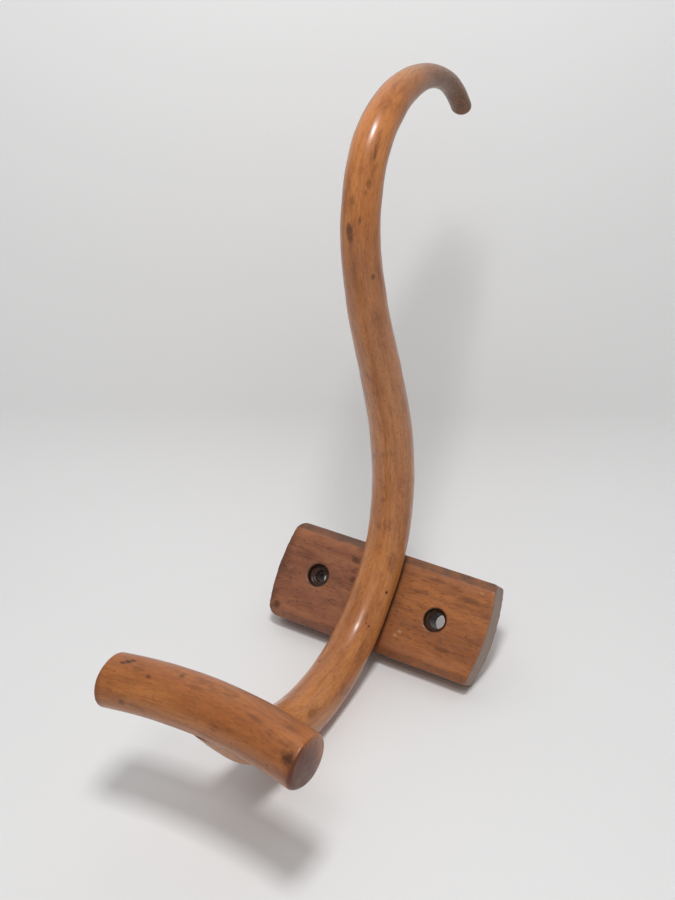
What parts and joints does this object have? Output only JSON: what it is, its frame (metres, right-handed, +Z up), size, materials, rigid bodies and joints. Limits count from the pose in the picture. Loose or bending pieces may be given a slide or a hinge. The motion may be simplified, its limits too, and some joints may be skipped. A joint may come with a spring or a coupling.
{
  "type": "hat and coat hook",
  "caption": "Bentwood wall hook: a steam-bent S-shaped rod for hats on a bored wooden wall block, with a short cross arm for coats at its lower end.",
  "frame": {"origin": "on the wall block's back face, behind the middle of the rod and midway up the block", "axes": "+Y into the wall, so the hook stands out towards -Y; +Z up as it hangs; +X to the right seen from the room"},
  "size_m": [0.142, 0.2313, 0.3725],
  "materials": {
    "block_wood": "worn varnish, semi-gloss",
    "rod_wood": "varnish, gloss",
    "arm_wood": "varnish, gloss",
    "screw_steel": "dull, aged",
    "dowel_wood": "bare"
  },
  "bodies": {
    "root": {"wall_block": "block_wood", "hook_rod": "rod_wood", "cross_arm": "arm_wood", "rod_screw_upper": "screw_steel", "rod_screw_lower": "screw_steel", "arm_dowel": "dowel_wood"}
  },
  "joints": []
}
